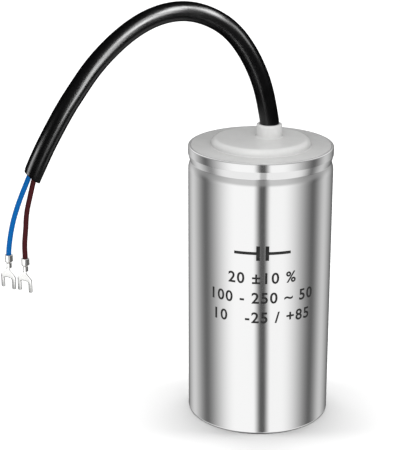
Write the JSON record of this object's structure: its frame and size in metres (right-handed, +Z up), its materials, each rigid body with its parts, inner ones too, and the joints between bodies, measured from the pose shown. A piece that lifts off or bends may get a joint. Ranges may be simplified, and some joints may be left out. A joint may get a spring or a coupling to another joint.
{
  "type": "motor start capacitor",
  "caption": "Round metal can with a rolled rim and a plastic lid; a film roll potted inside starts an AC motor through a two-core cable with fork terminals.",
  "frame": {"origin": "centre of the can's base, on the surface that it stands on", "axes": "+Z up along the can's axis, -Y out of the printed side, and the cable leans over towards -X"},
  "size_m": [0.1032, 0.0454, 0.1327],
  "materials": {
    "can": "bright drawn",
    "lid": "glossy, slightly milky",
    "seal": "matte",
    "sheath": "satin",
    "blue_insulation": "satin",
    "brown_insulation": "satin",
    "terminal": "tin plated",
    "film": "metallised film",
    "tube": "plain",
    "sprayed_metal": "sprayed zinc",
    "solder": "solder",
    "wrap": "plain film",
    "insulator": "pressboard",
    "resin": "cast"
  },
  "bodies": {
    "root": {"can": "can", "lid": "lid", "lid_seal": "seal", "cable_sheath": "sheath", "blue_core": "blue_insulation", "brown_core": "brown_insulation", "blue_fork": "terminal", "brown_fork": "terminal", "winding": "film", "core_tube": "tube", "upper_contact": "sprayed_metal", "lower_contact": "sprayed_metal", "upper_solder": "solder", "lower_solder": "solder", "outer_wrap": "wrap", "base_insulator": "insulator", "potting_resin": "resin"}
  },
  "joints": []
}
